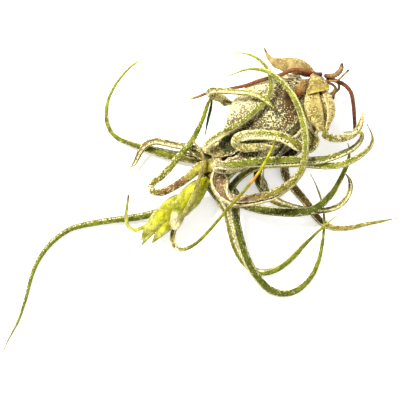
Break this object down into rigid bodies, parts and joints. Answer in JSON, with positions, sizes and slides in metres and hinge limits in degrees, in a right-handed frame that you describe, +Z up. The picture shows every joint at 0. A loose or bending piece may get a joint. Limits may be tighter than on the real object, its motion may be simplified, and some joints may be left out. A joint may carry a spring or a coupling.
{
  "type": "tillandsia pruinosa air plant",
  "caption": "Small air plant lying on its side: a swollen bulb of leaf sheaths, curling channelled leaves, a flower spike, an offset and wiry roots.",
  "frame": {"origin": "bottom centre of the bounding box, on the table that the plant lies on", "axes": "+X towards the plant's right in the view from above and its longest side, +Y away from the viewer, +Z up from the table"},
  "size_m": [0.1324, 0.101, 0.0346],
  "materials": {
    "bulb_leaf": "fleshy leaf, matt, covered in silvery scales",
    "green_leaf": "fleshy leaf, matt, covered in silvery scales",
    "bract": "smooth fleshy bract, satin",
    "offset": "dry leaf base, matt, with scales",
    "dry_leaf": "dry papery leaf, matt",
    "root": "wiry root, matt",
    "stem": "woody stem, matt"
  },
  "bodies": {
    "root": {"leaf_outer_1": "bulb_leaf", "leaf_outer_2": "bulb_leaf", "leaf_outer_3": "bulb_leaf", "leaf_outer_4": "bulb_leaf", "leaf_outer_5": "bulb_leaf", "leaf_middle_1": "green_leaf", "leaf_middle_2": "green_leaf", "leaf_middle_3": "green_leaf", "leaf_middle_4": "green_leaf", "leaf_middle_5": "green_leaf", "leaf_inner_1": "green_leaf", "leaf_inner_2": "green_leaf", "leaf_inner_3": "green_leaf", "leaf_inner_4": "green_leaf", "leaf_stalk_1": "green_leaf", "leaf_stalk_2": "green_leaf", "stem": "stem", "flower_spike": "bract", "offset_stem": "stem", "offset_sheath": "offset", "offset_leaf": "green_leaf", "dry_leaf": "dry_leaf", "dry_sheath": "dry_leaf", "dry_hood": "dry_leaf", "root_left": "root", "root_right": "root", "root_stub_1": "root", "root_stub_2": "root", "root_stub_3": "root", "root_stub_4": "root"}
  },
  "joints": []
}
